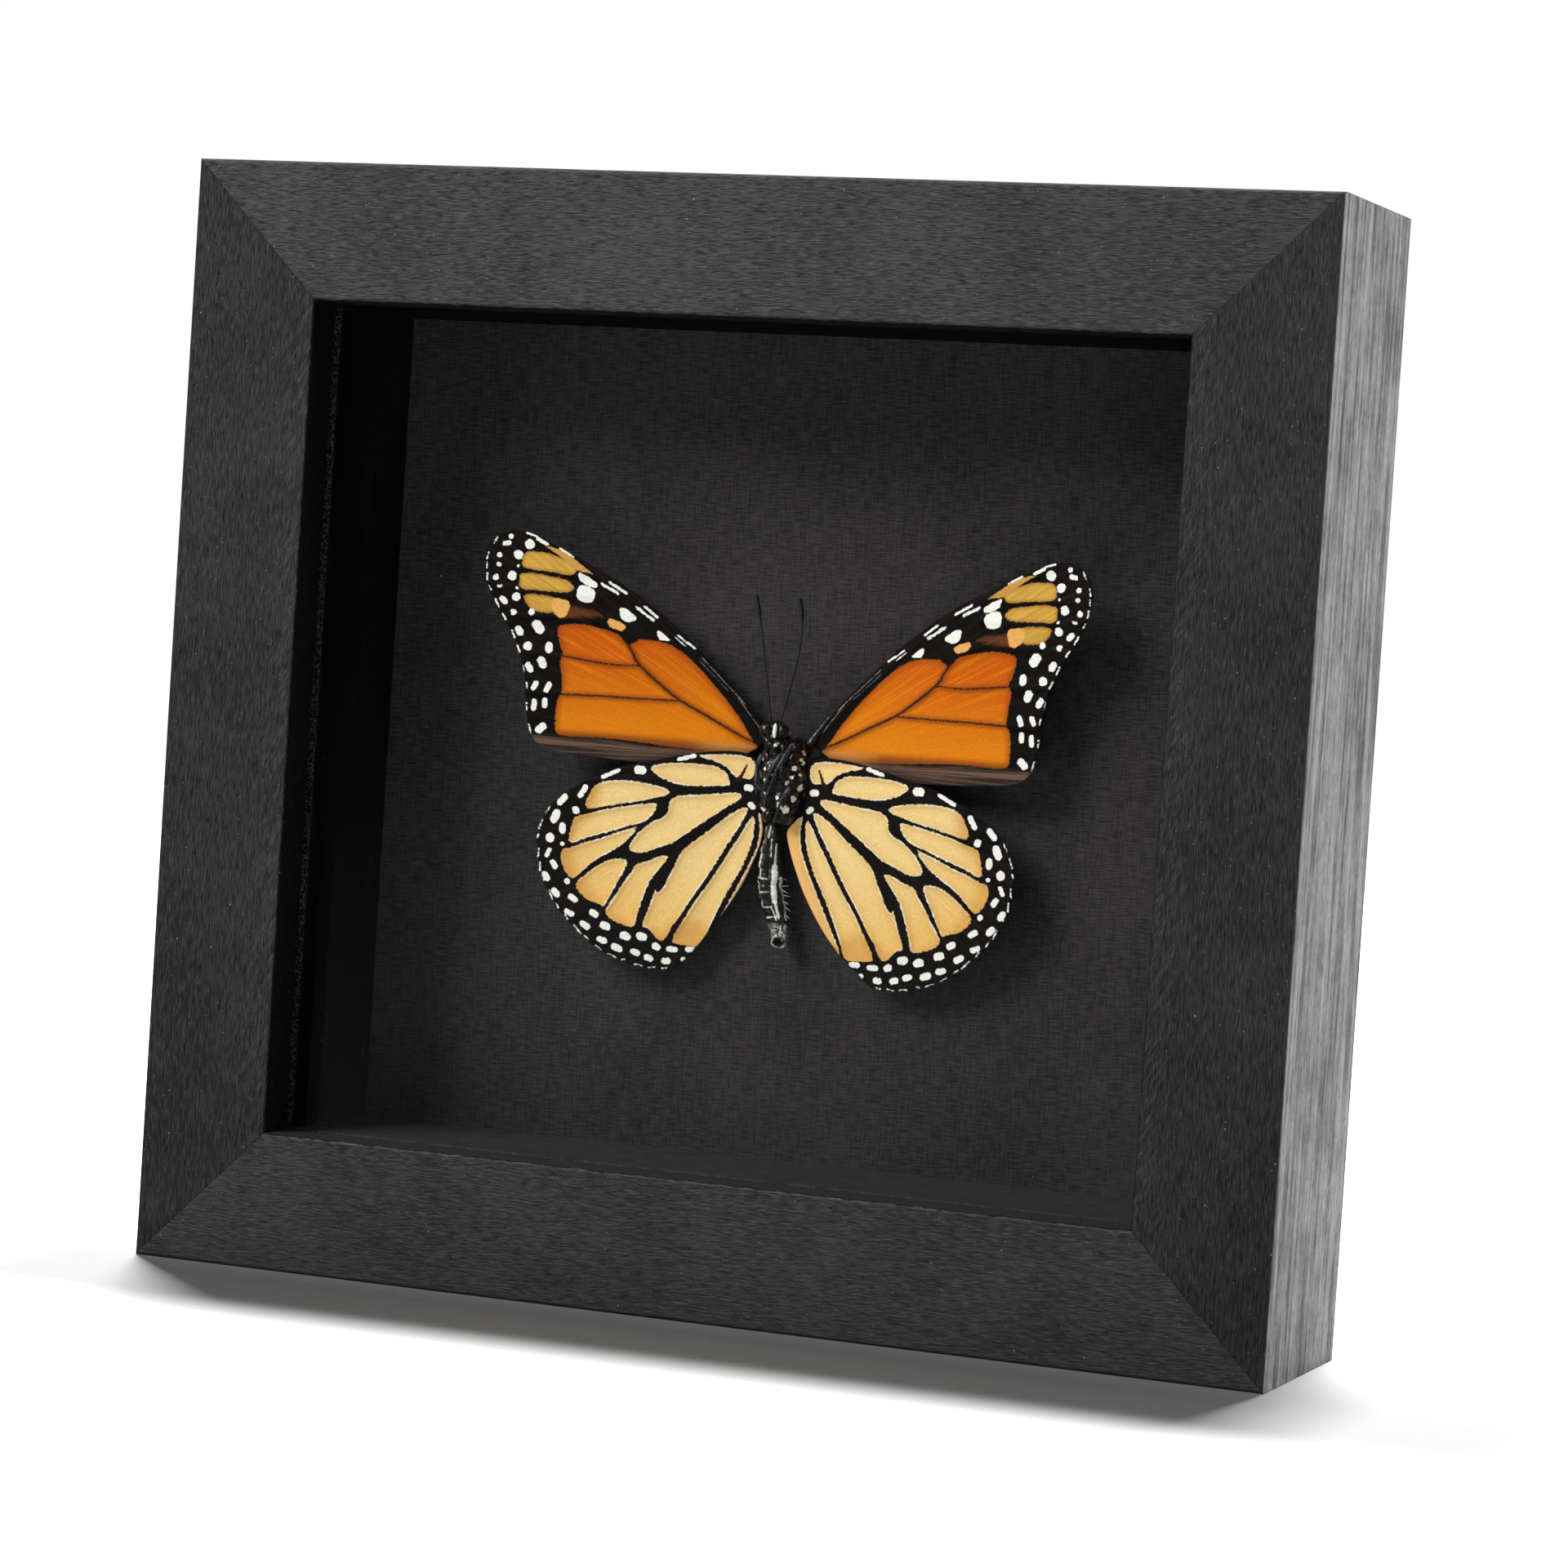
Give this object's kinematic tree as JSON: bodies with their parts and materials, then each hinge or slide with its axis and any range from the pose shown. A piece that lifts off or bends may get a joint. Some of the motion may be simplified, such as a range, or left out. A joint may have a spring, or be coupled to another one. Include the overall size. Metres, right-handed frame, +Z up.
{
  "type": "butterfly display case",
  "caption": "Black wooden shadow box that shows a set orange butterfly behind glass, with turn buttons and a hanger at the rear.",
  "frame": {"origin": "middle of the underside of the bottom rail, half way deep", "axes": "+X to the right across the face, +Y from the viewer into the case, +Z up"},
  "size_m": [0.176, 0.041, 0.165],
  "materials": {
    "stained_wood": "matte black stain, fine open grain",
    "zinced_steel": "bright zinc",
    "clear_glass": "polished float glass",
    "black_board": "matte black paint",
    "charcoal_paper": "matte, linen embossed",
    "grey_board": "uncoated grey board",
    "brown_hardboard": "smooth pressed hardboard",
    "plated_steel": "yellow passivated",
    "clear_rubber": "translucent, soft",
    "foam_pad": "closed cell foam",
    "dark_chitin": "glossy black with fine hair",
    "banded_abdomen": "black with pale grey scales",
    "orange_wing": "matte scales",
    "buff_wing": "matte scales"
  },
  "bodies": {
    "case": {"rail_bottom": "stained_wood", "rail_top": "stained_wood", "stile_left": "stained_wood", "stile_right": "stained_wood", "corner_nails": "zinced_steel", "front_glass": "clear_glass", "liner_bottom": "black_board", "liner_top": "black_board", "liner_right": "black_board", "liner_left": "black_board", "linen_paper": "charcoal_paper", "mount_board": "grey_board", "back_board": "brown_hardboard", "turn_button_screws": "zinced_steel", "sawtooth_hanger": "plated_steel", "hanger_nails": "zinced_steel", "wall_bumpers": "clear_rubber", "specimen_pad": "foam_pad", "thorax": "dark_chitin", "head": "dark_chitin", "compound_eyes": "dark_chitin", "abdomen": "banded_abdomen", "antenna_left": "dark_chitin", "antenna_right": "dark_chitin", "legs": "dark_chitin", "forewing_left": "orange_wing", "forewing_right": "orange_wing", "hindwing_left": "buff_wing", "hindwing_right": "buff_wing"},
    "turn_button_1_body": {"turn_button_1": "plated_steel"},
    "turn_button_2_body": {"turn_button_2": "plated_steel"},
    "turn_button_3_body": {"turn_button_3": "plated_steel"},
    "turn_button_4_body": {"turn_button_4": "plated_steel"}
  },
  "joints": [
    {"name": "turn_button_1_swivel", "type": "hinge", "parent": "case", "child": "turn_button_1_body", "pos_m": [-0.08075, 0.01955, 0.042], "axis": [0, -1, 0], "continuous": true},
    {"name": "turn_button_2_swivel", "type": "hinge", "parent": "case", "child": "turn_button_2_body", "pos_m": [0.08075, 0.01955, 0.042], "axis": [0, -1, 0], "continuous": true},
    {"name": "turn_button_3_swivel", "type": "hinge", "parent": "case", "child": "turn_button_3_body", "pos_m": [-0.08075, 0.01955, 0.123], "axis": [0, -1, 0], "continuous": true},
    {"name": "turn_button_4_swivel", "type": "hinge", "parent": "case", "child": "turn_button_4_body", "pos_m": [0.08075, 0.01955, 0.123], "axis": [0, -1, 0], "continuous": true}
  ]
}
